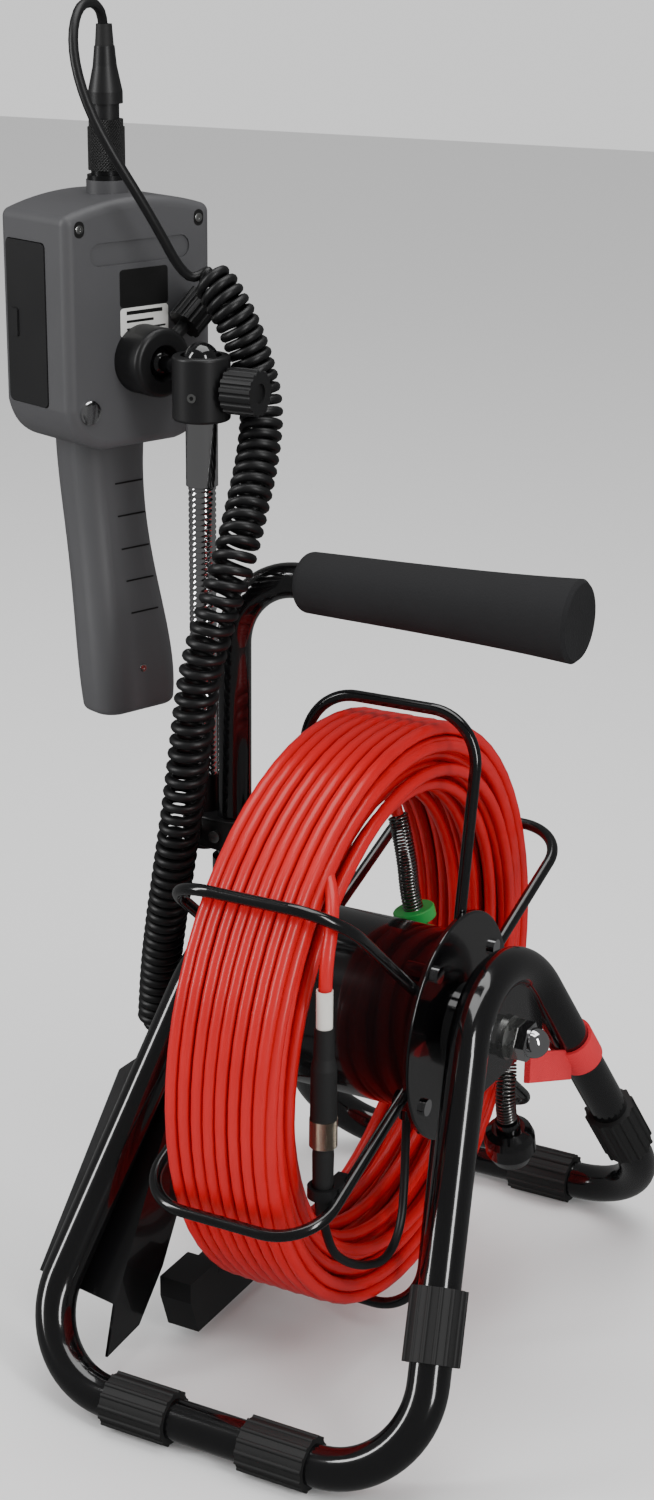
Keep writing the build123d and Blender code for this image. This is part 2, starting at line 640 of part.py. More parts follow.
with BuildPart() as handset_outer:
    with BuildSketch(BACK):
        head_outline(0)
    extrude(amount=-HEAD_DEPTH)
    fillet(handset_outer.edges().filter_by(Axis(BACK_POINT, BACK_DIR)), 5)
    fillet(handset_outer.faces().filter_by(Axis(BACK_POINT, BACK_DIR)).edges(), 5.5)
    handle_loft(0, 0)
    with BuildSketch(Plane(origin=on_back(0, -PLUG_DEPTH, HEAD_TOP_Z), z_dir=(0, 0, 1))):
        Circle(11.2)
    extrude(amount=14.5)
with BuildPart() as handset_cavity:
    with BuildSketch(BACK.offset(-SHELL_WALL)):
        head_outline(-SHELL_WALL)
    extrude(amount=-(HEAD_DEPTH - 2 * SHELL_WALL))
    handle_loft(-SHELL_WALL, GRIP_CAP_Z - 1)
    with BuildSketch(Plane(origin=on_back(0, -PLUG_DEPTH, HEAD_TOP_Z - 5), z_dir=(0, 0, 1))):
        Circle(7.4)
    extrude(amount=30)

DOOR_Z = (502.0, 589.0)
DOOR_DEPTH = (18.5, 54.0)
DOOR_T = 2.4
SIDE = Plane(origin=on_back(-HEAD_HALF_W, 0, 0), x_dir=BACK_DIR, z_dir=-ACROSS_DIR)


def door_shape(shrink):
    """The battery door's outline on the handset's side; local x runs out of the back."""
    low, high = DOOR_Z[0] + shrink, DOOR_Z[1] - shrink
    near, far = DOOR_DEPTH[0] + shrink, DOOR_DEPTH[1] - shrink
    up = SIDE.y_dir.Z
    with Locations((-(near + far) / 2, up * (low + high) / 2)):
        RectangleRounded(far - near, high - low, 3)


SCREEN_HALF_W, SCREEN_LOW, SCREEN_HIGH = 40.0, 524.0, 590.0
FRONT = BACK.offset(-HEAD_DEPTH)
BUTTON_Z = 508.0
BUTTON_SPOTS = {"power_button": -24, "menu_button": 0, "record_button": 24}
BUTTON_R = 4.0
SCREW_SPOTS = [(-41, HEAD_TOP_Z - 6), (41, HEAD_TOP_Z - 6)]
VENT_Z = 583.0

with BuildPart() as shell:
    add(handset_outer.part)
    add(handset_cavity.part, mode=Mode.SUBTRACT)
    with BuildSketch(SIDE):
        door_shape(0)
    extrude(amount=-6, mode=Mode.SUBTRACT)
    with BuildSketch(FRONT):
        with Locations((0, (SCREEN_LOW + SCREEN_HIGH) / 2)):
            RectangleRounded(2 * SCREEN_HALF_W, SCREEN_HIGH - SCREEN_LOW, 3)
        for across in BUTTON_SPOTS.values():
            with Locations((across, BUTTON_Z)):
                Circle(BUTTON_R + 0.3)
    extrude(amount=6, mode=Mode.SUBTRACT)
    split(bisect_by=Plane.XY.offset(GRIP_CAP_Z), keep=Keep.TOP)
split_plane = BACK.offset(-SPLIT_DEPTH)
with BuildPart() as rear_shell:
    add(shell.part)
    split(bisect_by=split_plane, keep=Keep.TOP)
    with BuildSketch(BACK):
        with Locations((0, VENT_Z)):
            SlotOverall(66, 12)
    extrude(amount=-1.0, mode=Mode.SUBTRACT)
keep(rear_shell.part, "rear_shell")
with BuildPart() as front_shell:
    add(shell.part)
    split(bisect_by=split_plane, keep=Keep.BOTTOM)
keep(front_shell.part, "front_shell")
with BuildPart() as grip_cap:
    handle_loft(0, 0)
    split(bisect_by=Plane.XY.offset(GRIP_CAP_Z), keep=Keep.BOTTOM)
    fillet(grip_cap.faces().sort_by(Axis.Z)[0].edges(), 4)
keep(grip_cap.part, "grip_cap")

with BuildPart() as battery_door:
    with BuildSketch(SIDE.offset(0.6)):
        door_shape(0.4)
    extrude(amount=-DOOR_T - 0.6)
    with BuildSketch(SIDE.offset(0.6)):
        with Locations((-(DOOR_DEPTH[1] - 7), SIDE.y_dir.Z * 545)):
            RectangleRounded(7, 15, 1.2)
    extrude(amount=1.0)
keep(battery_door.part, "battery_door")


def inner_box(name, across, heights, depths, corner=1.5):
    """A plain inner piece given by its reach across, its heights and its depths."""
    with BuildPart() as block:
        with BuildSketch(BACK.offset(-depths[0])):
            with Locations(((across[0] + across[1]) / 2, (heights[0] + heights[1]) / 2)):
                RectangleRounded(across[1] - across[0], heights[1] - heights[0], corner)
        extrude(amount=-(depths[1] - depths[0]))
    keep(block.part, name)


inner_box("battery_pack", (-44, -24), (508, 583), (20, 40))
inner_box("electronics", (-40, 40), (514, 596), (44, 45.6))
inner_box("electronics", (-38.5, 38.5), (526, 588), (49, 56.9))
inner_box("screen_glass", (-39.7, 39.7), (SCREEN_LOW + 0.3, SCREEN_HIGH - 0.3), (57.1, 59.6), 3)
for name, across in BUTTON_SPOTS.items():
    with BuildPart() as button:
        with BuildSketch(FRONT):
            with Locations((across, BUTTON_Z)):
                Circle(BUTTON_R)
        extrude(amount=4)
        with BuildSketch(FRONT):
            with Locations((across, BUTTON_Z)):
                Circle(BUTTON_R)
        extrude(amount=-1.8)
    keep(button.part, name)

# ---------------------------------------------------------------- plug on top of the handset
PLUG_AT = on_back(0, -PLUG_DEPTH, 0)
SOCKET_Z = HEAD_TOP_Z + 14.5


def on_plug(levels, hole=0.0):
    """A turned piece on the plug's upright axis: (height, radius) from bottom to top."""
    with BuildPart() as piece:
        with BuildSketch(Plane(origin=PLUG_AT, x_dir=(1, 0, 0), z_dir=(0, -1, 0))):
            with BuildLine():
                Polyline((hole, levels[0][0]), *[(r, z) for z, r in levels], (hole, levels[-1][0]),
                         (hole, levels[0][0]))
            make_face()
        revolve(axis=Axis(PLUG_AT, (0, 0, 1)))
    return piece.part


keep(on_plug([(SOCKET_Z - 10, 7.3), (SOCKET_Z, 7.3), (SOCKET_Z, 10.6), (SOCKET_Z + 2.5, 10.6),
              (SOCKET_Z + 2.5, 8.4), (SOCKET_Z + 5, 8.4)]), "handset_socket")
keep(on_plug([(SOCKET_Z + 5, 9.9), (SOCKET_Z + 27, 9.9), (SOCKET_Z + 27, 9.2), (SOCKET_Z + 31, 9.2)]),
     "plug_nut")
plug_body = on_plug([(SOCKET_Z + 31, 7.2), (SOCKET_Z + 39, 7.2), (SOCKET_Z + 39, 9.2), (SOCKET_Z + 45, 9.2),
                     (SOCKET_Z + 58, 6.4), (SOCKET_Z + 68, 5.4)])
keep(plug_body, "plug_body")
RELIEF_Z = SOCKET_Z + 68
RELIEF_TOP_Z = RELIEF_Z + 11
plug_relief = on_plug([(RELIEF_Z, 5.0), (RELIEF_TOP_Z, 4.2)], LEAD_R)
keep(plug_relief, "plug_relief")

# ---------------------------------------------------------------- curly lead
EXIT = (PLUG_AT.X, PLUG_AT.Y, RELIEF_Z)
COIL_TOP = (-112, 25, 574)
UPPER_POINTS = [EXIT, (PLUG_AT.X, PLUG_AT.Y - 0.5, RELIEF_Z + 14), (-174, 21, 706), (-171.5, 9, 708.5),
                (-169.5, -4, 706), (-167, -14, 694), (-162, -19, 677), (-153, -21, 657), (-143, -17, 637),
                (-133.5, -8, 616), (-126.5, 2, 596), (-122, 11, 579), (-118, 19, 570), COIL_TOP]
COIL_POINTS = [COIL_TOP, (-99, 22, 562), (-88.5, 27, 537), (-80, 28, 508), (-75.5, 16, 484),
               (-72, -2, 460), (-69.5, -22, 433), (-76, -32, 403), (-85, -33, 370), (-90, -32.5, 335),
               (-96, -31, 299), (-104.5, -27, 261), (-115, -20, 221), (-126, -10, 180), (-131, -5, 145)]
coil = round_bar(round_path(COIL_POINTS, name="lead_coil"), COIL_R)
keep(coil, "lead_coil")
keep(round_bar(round_path(UPPER_POINTS, name="lead_upper"), LEAD_R), "lead_upper", coil, plug_relief, plug_body)
TAIL_END_Z = GLAND_TOP_Z - GLAND_LEN
LOWER_POINTS = [(-131, -5, 145), (-131.5, -4, 128), (-124, -2, 111), (-110, 0, 107), (-100.5, 0.5, 121),
                (GLAND_X, 0, 137), (GLAND_X, 0.01, TAIL_END_Z)]
keep(round_bar(round_path(LOWER_POINTS, name="lead_tail"), LEAD_R), "lead_tail", coil)

# ---------------------------------------------------------------- tray on the front left leg
SLOPE = Vector(0, BASE_HALF_Y, APEX_Z - TUBE_Z).normalized()
UNDER = Vector(0, SLOPE.Z, -SLOPE.Y)
TRAY_ORIGIN = Vector(0, -BASE_HALF_Y, TUBE_Z) + UNDER * (TUBE_R + 1.0)
TRAY = Plane(origin=TRAY_ORIGIN, x_dir=(1, 0, 0), z_dir=UNDER * -1)
TRAY_LEFT, TRAY_RIGHT, SHEET_T = -131.0, -80.0, 1.6
TRAY_LOW, TRAY_HIGH = 52.0, 178.0
with BuildPart() as tray:
    with BuildSketch(TRAY):
        with BuildLine():
            Polyline((TRAY_LEFT, TRAY_LOW), (TRAY_RIGHT, TRAY_LOW - 6), (TRAY_RIGHT, TRAY_HIGH - 8),
                     (TRAY_RIGHT - 8, TRAY_HIGH), (TRAY_LEFT + 22, TRAY_HIGH), (TRAY_LEFT + 13, TRAY_HIGH - 9),
                     (TRAY_LEFT, TRAY_LOW))
        make_face()
    extrude(amount=-SHEET_T)
    with BuildSketch(Plane(origin=TRAY_ORIGIN + Vector(TRAY_RIGHT, 0, 0), x_dir=UNDER, z_dir=(1, 0, 0))):
        with BuildLine():
            up = Plane(origin=(0, 0, 0), x_dir=UNDER, z_dir=(1, 0, 0)).y_dir.dot(SLOPE)
            Polyline((0, up * (TRAY_LOW - 6)), (8, up * (TRAY_LOW - 34)), (34, up * (TRAY_LOW - 14)),
                     (42, up * (TRAY_LOW + 20)), (42, up * (TRAY_HIGH - 60)), (0, up * (TRAY_HIGH - 8)),
                     (0, up * (TRAY_LOW - 6)))
        make_face()
    extrude(amount=-SHEET_T)

leg_bolt_share = 0.5
with BuildPart() as tray_bolts:
    for share in (0.3, leg_bolt_share):
        spot = leg_point(-1, -1, share)
        under_leg = Plane(origin=spot + UNDER * (TUBE_R + 1.0 + SHEET_T), z_dir=UNDER)
        with BuildSketch(under_leg):
            RegularPolygon(6.2, 6)
        extrude(amount=5)
        with BuildSketch(under_leg):
            Circle(3)
        extrude(amount=-(SHEET_T + 3))
keep(tray.part, "side_tray", tray_bolts.part)
keep(tray_bolts.part, "small_fasteners", STAND_BARS[-1])

BLOCK_X = (-77.8, -58.0)
with BuildPart() as rest_block:
    with BuildSketch(Plane(origin=(BLOCK_X[0], 0, 0), x_dir=(0, 1, 0), z_dir=(1, 0, 0))):
        with BuildLine():
            Polyline((-84, 8), (0, 8), (0, 34), (-62, 34), (-62, 42), (-92, 42), (-92, 30), (-84, 8))
        make_face()
    extrude(amount=BLOCK_X[1] - BLOCK_X[0])
keep(rest_block.part, "rest_block")

# ---------------------------------------------------------------- cable strap on the rear leg
leg_dir = (leg_point(1, 1, 1) - leg_point(1, 1, 0)).normalized()
strap_middle = leg_point(1, 1, 0.53)
strap_end = Vector(89, 20, 162)
aside = (strap_end - strap_middle) - leg_dir * (strap_end - strap_middle).dot(leg_dir)
strap_start = strap_middle + aside.normalized() * (TUBE_R + 1.2)
run = strap_end - strap_start
STRAP_T, STRAP_W = 1.8, 20.0
with BuildPart() as strap:
    with BuildSketch(Plane(origin=strap_middle, z_dir=leg_dir)):
        Circle(TUBE_R + 0.2 + STRAP_T)
        Circle(TUBE_R + 0.2, mode=Mode.SUBTRACT)
    extrude(amount=STRAP_W / 2, both=True)
    with BuildSketch(Plane(origin=strap_start, x_dir=leg_dir - run * (leg_dir.dot(run) / run.dot(run)), z_dir=run)):
        RectangleRounded(STRAP_W * 0.85, 2 * STRAP_T, 0.8)
    extrude(amount=run.length)
keep(strap.part, "cable_strap", STAND_BARS[1])

# ---------------------------------------------------------------- writing
box = None
for name, solids in PARTS.items():
    if name not in CORD_NODES:
        for solid in solids:
            here = solid.bounding_box()
            box = here if box is None else box.add(here)
SHIFT = Vector(-(box.min.X + box.max.X) / 2, -(box.min.Y + box.max.Y) / 2, 0)
print("axle centre in the row frame", [round(v, 3) for v in (SHIFT.X, SHIFT.Y, AXLE_Z)])
os.makedirs("parts", exist_ok=True)
for name, solids in PARTS.items():
    placed = Compound([solid.moved(Location(SHIFT)) for solid in solids])
    placed.label = name
    export_step(placed, f"parts/{name}.step")
print(len(PARTS), "nodes")
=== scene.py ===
"""Drain inspection camera on a reel stand: the looks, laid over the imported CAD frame."""
import bmesh
import bpy
import json
from math import cos, pi, radians, sin, tau
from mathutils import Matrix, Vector


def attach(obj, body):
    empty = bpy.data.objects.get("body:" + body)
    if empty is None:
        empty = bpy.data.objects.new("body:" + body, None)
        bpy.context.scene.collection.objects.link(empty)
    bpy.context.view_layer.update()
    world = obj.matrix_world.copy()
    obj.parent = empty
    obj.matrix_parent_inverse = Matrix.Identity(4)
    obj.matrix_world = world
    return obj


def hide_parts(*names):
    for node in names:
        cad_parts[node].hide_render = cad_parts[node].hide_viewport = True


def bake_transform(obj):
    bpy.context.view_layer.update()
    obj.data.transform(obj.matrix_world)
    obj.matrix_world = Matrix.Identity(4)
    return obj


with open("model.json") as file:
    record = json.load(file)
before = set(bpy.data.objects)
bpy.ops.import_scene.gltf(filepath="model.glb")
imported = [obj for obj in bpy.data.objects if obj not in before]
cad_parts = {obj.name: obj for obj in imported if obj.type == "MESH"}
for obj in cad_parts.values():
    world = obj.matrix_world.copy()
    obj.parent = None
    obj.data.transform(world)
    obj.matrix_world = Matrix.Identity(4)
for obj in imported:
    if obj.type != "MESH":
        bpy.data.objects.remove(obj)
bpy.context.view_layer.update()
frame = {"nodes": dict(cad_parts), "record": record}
nodes = frame["nodes"]
joints = {joint["name"]: joint for joint in frame["record"]["behaviour"]["joints"]}
AXLE = Vector(joints["reel_spin"]["pos_m"])
ACROSS = Vector(joints["handset_tilt"]["axis"]).normalized()
BACK = Vector((ACROSS.y, -ACROSS.x, 0))
BALL = Vector(joints["handset_tilt"]["pos_m"])
BALL_OUT = 0.013


# ---------------------------------------------------------------- placing
def at(x, y, z):
    """A point in millimetres from the middle of the stand, at floor level."""
    return Vector((AXLE.x + x / 1000, AXLE.y + y / 1000, z / 1000))


def on_back(across, out, z):
    """A point in millimetres across the handset, out of its back and above the floor."""
    point = BALL + ACROSS * (across / 1000) + BACK * (out / 1000 - BALL_OUT)
    return Vector((point.x, point.y, z / 1000))


# ---------------------------------------------------------------- materials
def srgb(code):
    """Linear colour of an sRGB hex value."""
    channels = [int(code[i:i + 2], 16) / 255 for i in (0, 2, 4)]
    return [c / 12.92 if c <= 0.04045 else ((c + 0.055) / 1.055) ** 2.4 for c in channels] + [1.0]


def add(tree, kind, links=None, **settings):
    """Adds a node; links gives its inputs, each a value or another node's output."""
    node = tree.nodes.new(kind)
    for name, value in settings.items():
        setattr(node, name, value)
    for name, value in (links or {}).items():
        if isinstance(value, bpy.types.NodeSocket):
            tree.links.new(value, node.inputs[name])
        else:
            node.inputs[name].default_value = value
    return node


def surface(name, colour, roughness, metallic=0.0, coat=0.0, grain=1.0, depth=0.0, drift=0.12, smudge=0.06,
            pattern=None):
    """A finish whose colour drifts a little, with handling smudges and a grain given in millimetres.

    pattern, where given, builds a height from the tree and its Object coordinates instead of grain.
    """
    material = bpy.data.materials.new(name)
    material.use_nodes = True
    tree = material.node_tree
    skin = tree.nodes["Principled BSDF"]
    skin.inputs["Metallic"].default_value = metallic
    skin.inputs["Coat Weight"].default_value = coat
    skin.inputs["Coat Roughness"].default_value = 0.04
    where = add(tree, "ShaderNodeTexCoord").outputs["Object"]
    patches = add(tree, "ShaderNodeTexNoise", {"Vector": where, "Scale": 30.0, "Detail": 4.0}).outputs["Fac"]
    base = srgb(colour)
    dark = [c * (1 - drift) for c in base[:3]] + [1.0]
    light = [min(1.0, c * (1 + drift)) for c in base[:3]] + [1.0]
    tone = add(tree, "ShaderNodeMix", {"Factor": patches, "A": dark, "B": light}, data_type="RGBA")
    for socket, value in zip([s for s in tone.inputs if s.type == "RGBA"], (dark, light)):
        socket.default_value = value
    tone_out = [s for s in tone.outputs if s.type == "RGBA"][0]
    tree.links.new(tone_out, skin.inputs["Base Color"])
    rough = add(tree, "ShaderNodeMapRange", {"Value": patches, "To Min": max(0.02, roughness - smudge),
                                             "To Max": roughness + smudge})
    tree.links.new(rough.outputs["Result"], skin.inputs["Roughness"])
    if pattern or depth:
        if pattern:
            height = pattern(tree, where)
        else:
            fine = {"Vector": where, "Scale": 1000 / grain, "Detail": 2.0}
            height = add(tree, "ShaderNodeTexNoise", fine).outputs["Fac"]
        bump = add(tree, "ShaderNodeBump", {"Height": height, "Distance": depth / 1000, "Strength": 0.7})
        tree.links.new(bump.outputs["Normal"], skin.inputs["Normal"])
    return material


def weave(pitch):
    """Height of a plain weave whose threads are pitch millimetres apart."""
    def build(tree, where):
        one = add(tree, "ShaderNodeTexWave", {"Vector": where, "Scale": 314 / pitch}, bands_direction="Z")
        two = add(tree, "ShaderNodeTexWave", {"Vector": where, "Scale": 314 / pitch}, bands_direction="Y")
        both = {0: one.outputs["Fac"], 1: two.outputs["Fac"]}
        return add(tree, "ShaderNodeMath", both, operation="MULTIPLY").outputs[0]
    return build


def knurl(pitch, radius, centre):
    """Height of a diamond knurl on an upright ring of that radius, pitch in millimetres."""
    count = round(tau * radius / pitch)

    def build(tree, where):
        local = add(tree, "ShaderNodeVectorMath", {0: where, 1: centre}, operation="SUBTRACT").outputs[0]
        split = add(tree, "ShaderNodeSeparateXYZ", {0: local})
        flat = {0: split.outputs["Y"], 1: split.outputs["X"]}
        angle = add(tree, "ShaderNodeMath", flat, operation="ARCTAN2").outputs[0]
        turns = add(tree, "ShaderNodeMath", {0: angle, 1: float(count)}, operation="MULTIPLY").outputs[0]
        upward = {0: split.outputs["Z"], 1: tau / pitch * 1000}
        rise = add(tree, "ShaderNodeMath", upward, operation="MULTIPLY").outputs[0]
        waves = []
        for operation in ("ADD", "SUBTRACT"):
            phase = add(tree, "ShaderNodeMath", {0: turns, 1: rise}, operation=operation).outputs[0]
            waves.append(add(tree, "ShaderNodeMath", {0: phase}, operation="SINE").outputs[0])
        return add(tree, "ShaderNodeMath", {0: waves[0], 1: waves[1]}, operation="MAXIMUM").outputs[0]
    return build


LACQUER = surface("gloss_black_lacquer", "0b0b0c", 0.16, coat=1.0, grain=6.0, depth=0.015, smudge=0.04)
WIRE_COAT = surface("gloss_black_wire_coat", "0c0c0d", 0.2, coat=0.8, grain=3.0, depth=0.02)
SHEET_COAT = surface("satin_black_powder_coat", "0e0e0f", 0.24, coat=0.5, grain=0.9, depth=0.02)
HUB_COAT = surface("gloss_black_enamel", "0c0c0d", 0.14, coat=1.0, grain=5.0, depth=0.01)
RUBBER = surface("moulded_black_rubber", "1b1b1b", 0.62, grain=0.6, depth=0.05)
LEAD_JACKET = surface("satin_black_cord_jacket", "131314", 0.42, grain=0.8, depth=0.02)
FOAM = surface("closed_cell_foam", "18181a", 0.9, grain=1.1, depth=0.4, drift=0.3)
CABLE_RED = surface("red_cable_jacket", "c4060e", 0.36, coat=0.2, grain=14.0, depth=0.05, drift=0.1)
ABS_GREY = surface("grained_grey_abs", "48484a", 0.48, grain=0.45, depth=0.03, drift=0.05)
ABS_GLOSS = surface("moulded_gloss_black", "0c0c0d", 0.14, coat=1.0, drift=0.06)
ABS_BLACK = surface("moulded_black_abs", "161617", 0.42, grain=0.6, depth=0.03)
CHROME = surface("polished_chrome", "dcdcdd", 0.09, metallic=1.0, drift=0.04, smudge=0.03)
ZINC = surface("bright_zinc", "b9bab8", 0.26, metallic=1.0, grain=2.0, depth=0.01, drift=0.1)
SPRING_STEEL = surface("drawn_stainless_wire", "9a9a98", 0.24, metallic=1.0, drift=0.1)
BRONZE = surface("sintered_bronze", "8d6a3f", 0.45, metallic=1.0, grain=0.5, depth=0.03)
STRAP = surface("hook_and_loop_webbing", "c8202a", 0.9, drift=0.2, depth=0.35, pattern=weave(1.1))
GREEN = surface("green_moulded_ring", "2fa84a", 0.4, grain=1.0, depth=0.02)
SLEEVE = surface("clear_sleeve_over_label", "d9d6cf", 0.16, coat=1.0, grain=9.0, depth=0.1, drift=0.25)
PAPER = surface("printed_label_white", "d8d8d4", 0.5, drift=0.03)
INK = surface("printed_label_black", "151515", 0.35, drift=0.03)
SCREEN = surface("dark_display_glass", "05060a", 0.05, coat=1.0)
LENS = surface("coated_lens_glass", "0a0d18", 0.03, coat=1.0)
BUTTON = surface("silicone_button", "2c2c2d", 0.55, grain=0.6, depth=0.03)
BOARD = surface("circuit_board", "14542c", 0.4, grain=2.0, depth=0.05)
CELLS = surface("shrink_wrapped_cells", "1d3f86", 0.3, coat=0.4)
# Painted shade: a near-black colour that stands in for the shade inside the grip grooves and screw recesses
PAINTED_SHADE = surface("shadow_gap", "0a0a0a", 0.8)


def paint(piece, *materials):
    """Gives a piece, or a CAD node by name, its materials."""
    obj = nodes[piece] if isinstance(piece, str) else piece
    obj.data.materials.clear()
    for material in materials:
        obj.data.materials.append(material)
    return obj


# ---------------------------------------------------------------- mesh helpers
def new_object(name, data):
    obj = bpy.data.objects.new(name, data)
    bpy.context.scene.collection.objects.link(obj)
    return obj


def from_bmesh(name, mesh_data, smooth=35):
    """An object from a bmesh, smooth up to that many degrees between faces."""
    bmesh.ops.remove_doubles(mesh_data, verts=mesh_data.verts, dist=1e-6)
    bmesh.ops.recalc_face_normals(mesh_data, faces=mesh_data.faces)
    mesh = bpy.data.meshes.new(name)
    mesh_data.to_mesh(mesh)
    mesh_data.free()
    obj = new_object(name, mesh)
    mesh.shade_smooth()
    mesh.set_sharp_from_angle(angle=radians(smooth))
    return obj


def lathe(name, profile, start, direction, segments=48, smooth=35):
    """Turns a profile of (distance, radius) in millimetres about an axis."""
    direction = Vector(direction).normalized()
    side = direction.orthogonal().normalized()
    other = direction.cross(side)
    solid = bmesh.new()
    rings = []
    for distance, radius in profile:
        middle = start + direction * (distance / 1000)
        reach = max(radius, 0.001) / 1000
        turns = [tau * i / segments for i in range(segments)]
        rings.append([solid.verts.new(middle + (side * cos(turn) + other * sin(turn)) * reach) for turn in turns])
    for lower, upper in zip(rings, rings[1:]):
        for i in range(segments):
            solid.faces.new((lower[i], lower[(i + 1) % segments], upper[(i + 1) % segments], upper[i]))
    solid.faces.new(rings[0])
    solid.faces.new(rings[-1])
    return from_bmesh(name, solid, smooth)


def plate(name, outline, plane_start, right, up, thickness, bevel=0.3):
    """A flat plate from an outline of (right, up) in millimetres; it stands out along right x up."""
    right, up = Vector(right).normalized(), Vector(up).normalized()
    out = right.cross(up)
    solid = bmesh.new()
    low = [solid.verts.new(plane_start + right * (a / 1000) + up * (b / 1000)) for a, b in outline]
    base = solid.faces.new(low)
    top = bmesh.ops.extrude_face_region(solid, geom=[base])
    moved = [item for item in top["geom"] if isinstance(item, bmesh.types.BMVert)]
    bmesh.ops.translate(solid, verts=moved, vec=out * (thickness / 1000))
    obj = from_bmesh(name, solid, 30)
    if bevel:
        rounding = obj.modifiers.new("edges", "BEVEL")
        rounding.width = bevel / 1000
        rounding.segments = 2
        rounding.limit_method = "ANGLE"
    return obj


def rounded(width, height, corner, steps=6, centre=(0, 0)):
    """The outline of a rounded rectangle in millimetres."""
    points = []
    for quarter, (sx, sy) in enumerate(((1, 1), (-1, 1), (-1, -1), (1, -1))):
        for step in range(steps + 1):
            angle = (quarter + step / steps) * pi / 2
            points.append((centre[0] + sx * (width / 2 - corner) + corner * cos(angle),
                           centre[1] + sy * (height / 2 - corner) + corner * sin(angle)))
    return points


def spline(name, points, radius, around=3, smoothness=4):
    """A round cord through a route: one NURBS spline with the route's points as its controls."""
    curve = bpy.data.curves.new(name, "CURVE")
    curve.dimensions = "3D"
    curve.resolution_u = smoothness
    curve.bevel_depth = radius
    curve.bevel_resolution = around
    curve.use_fill_caps = True
    line = curve.splines.new("NURBS")
    line.points.add(len(points) - 1)
    for control, point in zip(line.points, points):
        control.co = (*point, 1.0)
    line.order_u = 3
    line.use_endpoint_u = True
    return new_object(name, curve)


def line_of(points, smoothness=24):
    """Points along a route's own spline."""
    route = spline("route", points, 0.0, smoothness=smoothness)
    mesh = bpy.data.meshes.new_from_object(route)
    line = [vertex.co.copy() for vertex in mesh.vertices]
    bpy.data.objects.remove(route)
    bpy.data.meshes.remove(mesh)
    return line


def length_of(points):
    return sum((b - a).length for a, b in zip(points, points[1:]))


def helix(line, radius, pitch, per_turn, lead_in=1.0, snug=0.0):
    """A coil round a line: its radius grows over lead_in turns at its ends, snug closes its end turns."""
    total = length_of(line)
    turns = total / pitch
    normal = (line[1] - line[0]).orthogonal().normalized()
    gone = [0.0]
    for a, b in zip(line, line[1:]):
        gone.append(gone[-1] + (b - a).length)
    frames = []
    for i, point in enumerate(line):
        along = (line[min(i + 1, len(line) - 1)] - line[max(i - 1, 0)]).normalized()
        normal = (normal - along * normal.dot(along)).normalized()
        frames.append((point, normal.copy(), along.cross(normal)))
    points = []
    count = int(turns * per_turn)
    index = 0
    for step in range(count + 1):
        share = step / count
        distance = total * share
        while index < len(gone) - 2 and gone[index + 1] < distance:
            index += 1
        inside = (distance - gone[index]) / (gone[index + 1] - gone[index])
        here, there = frames[index], frames[index + 1]
        middle = here[0].lerp(there[0], inside)
        across = here[1].lerp(there[1], inside)
        other = here[2].lerp(there[2], inside)
        angle = tau * turns * (share + snug * sin(tau * share))
        reach = radius * min(1.0, turns * share / lead_in, turns * (1 - share) / lead_in)
        points.append(middle + (across * cos(angle) + other * sin(angle)) * reach)
    return points


# ---------------------------------------------------------------- camera
camera_data = bpy.data.cameras.new("camera")
camera_data.lens = 60.39
camera_data.sensor_width = 36.0
camera_data.shift_x = 0.0455
camera_data.shift_y = 0.0325
camera = new_object("camera", camera_data)
camera.location = at(563.7, -1123.9, 771.9)
camera.rotation_euler = (radians(90 - 20.28), 0, radians(29.29))
bpy.context.scene.camera = camera

# ---------------------------------------------------------------- push cable
# Seven-millimetre red cable: from the rubber boot over the wires into neat outer layers,
# then looser inner turns, and out to the spring neck of the camera probe.
CABLE_R = 0.0035
TAIL_ROUTE = [(41.6, -127, 232), (41.6, -127, 266), (40, -117, 284), (33, -103, 298), (20, -88, 306)]
PROBE_ROUTE = [(-19, 60, 306), (-17.5, 64, 290), (-14, 65, 275)]
START_ANGLE = 126.6
LAYERS = [(0, 20, 147.2), (0.7, 28, 151.5), (8.9, -31, 151.5), (9.8, -29, 159), (17.6, 27, 159),
          (18.5, 25, 144), (26.4, -31, 144), (27.3, -30, 136.5), (35.2, 28, 136.5), (36.2, 20, 128),
          (38.2, -2, 124), (39.1, -17, 131)]
END_TURN = 39 + (START_ANGLE - 66) / 360
PER_TURN = 20


def layer(turn):
    """(x, radius) of the winding after that many turns, in millimetres."""
    for (t0, x0, r0), (t1, x1, r1) in zip(LAYERS, LAYERS[1:]):
        if turn <= t1:
            share = (turn - t0) / (t1 - t0)
            ease = share * share * (3 - 2 * share) if abs(r1 - r0) > 2 else share
            return x0 + (x1 - x0) * share, r0 + (r1 - r0) * ease
    return LAYERS[-1][1:]


def winding():
    points = []
    for step in range(1, int(END_TURN * PER_TURN)):
        turn = step / PER_TURN
        angle = radians(START_ANGLE) - tau * turn
        x, radius = layer(turn)
        loose = 0.3 if turn < 18 else 1.2
        x += loose * sin(2 * angle + turn * 1.7)
        radius += 0.5 * loose * sin(3 * angle + turn * 2.3)
        points.append(at(x, radius * cos(angle), 1000 * AXLE.z + radius * sin(angle)))
    return points


cable_points = [at(*p) for p in TAIL_ROUTE] + winding() + [at(*p) for p in PROBE_ROUTE]
push_cable = spline("push_cable", cable_points, CABLE_R, around=3, smoothness=3)
paint(push_cable, CABLE_RED)
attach(push_cable, "reel")
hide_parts("cable_winding", "cable_ends")

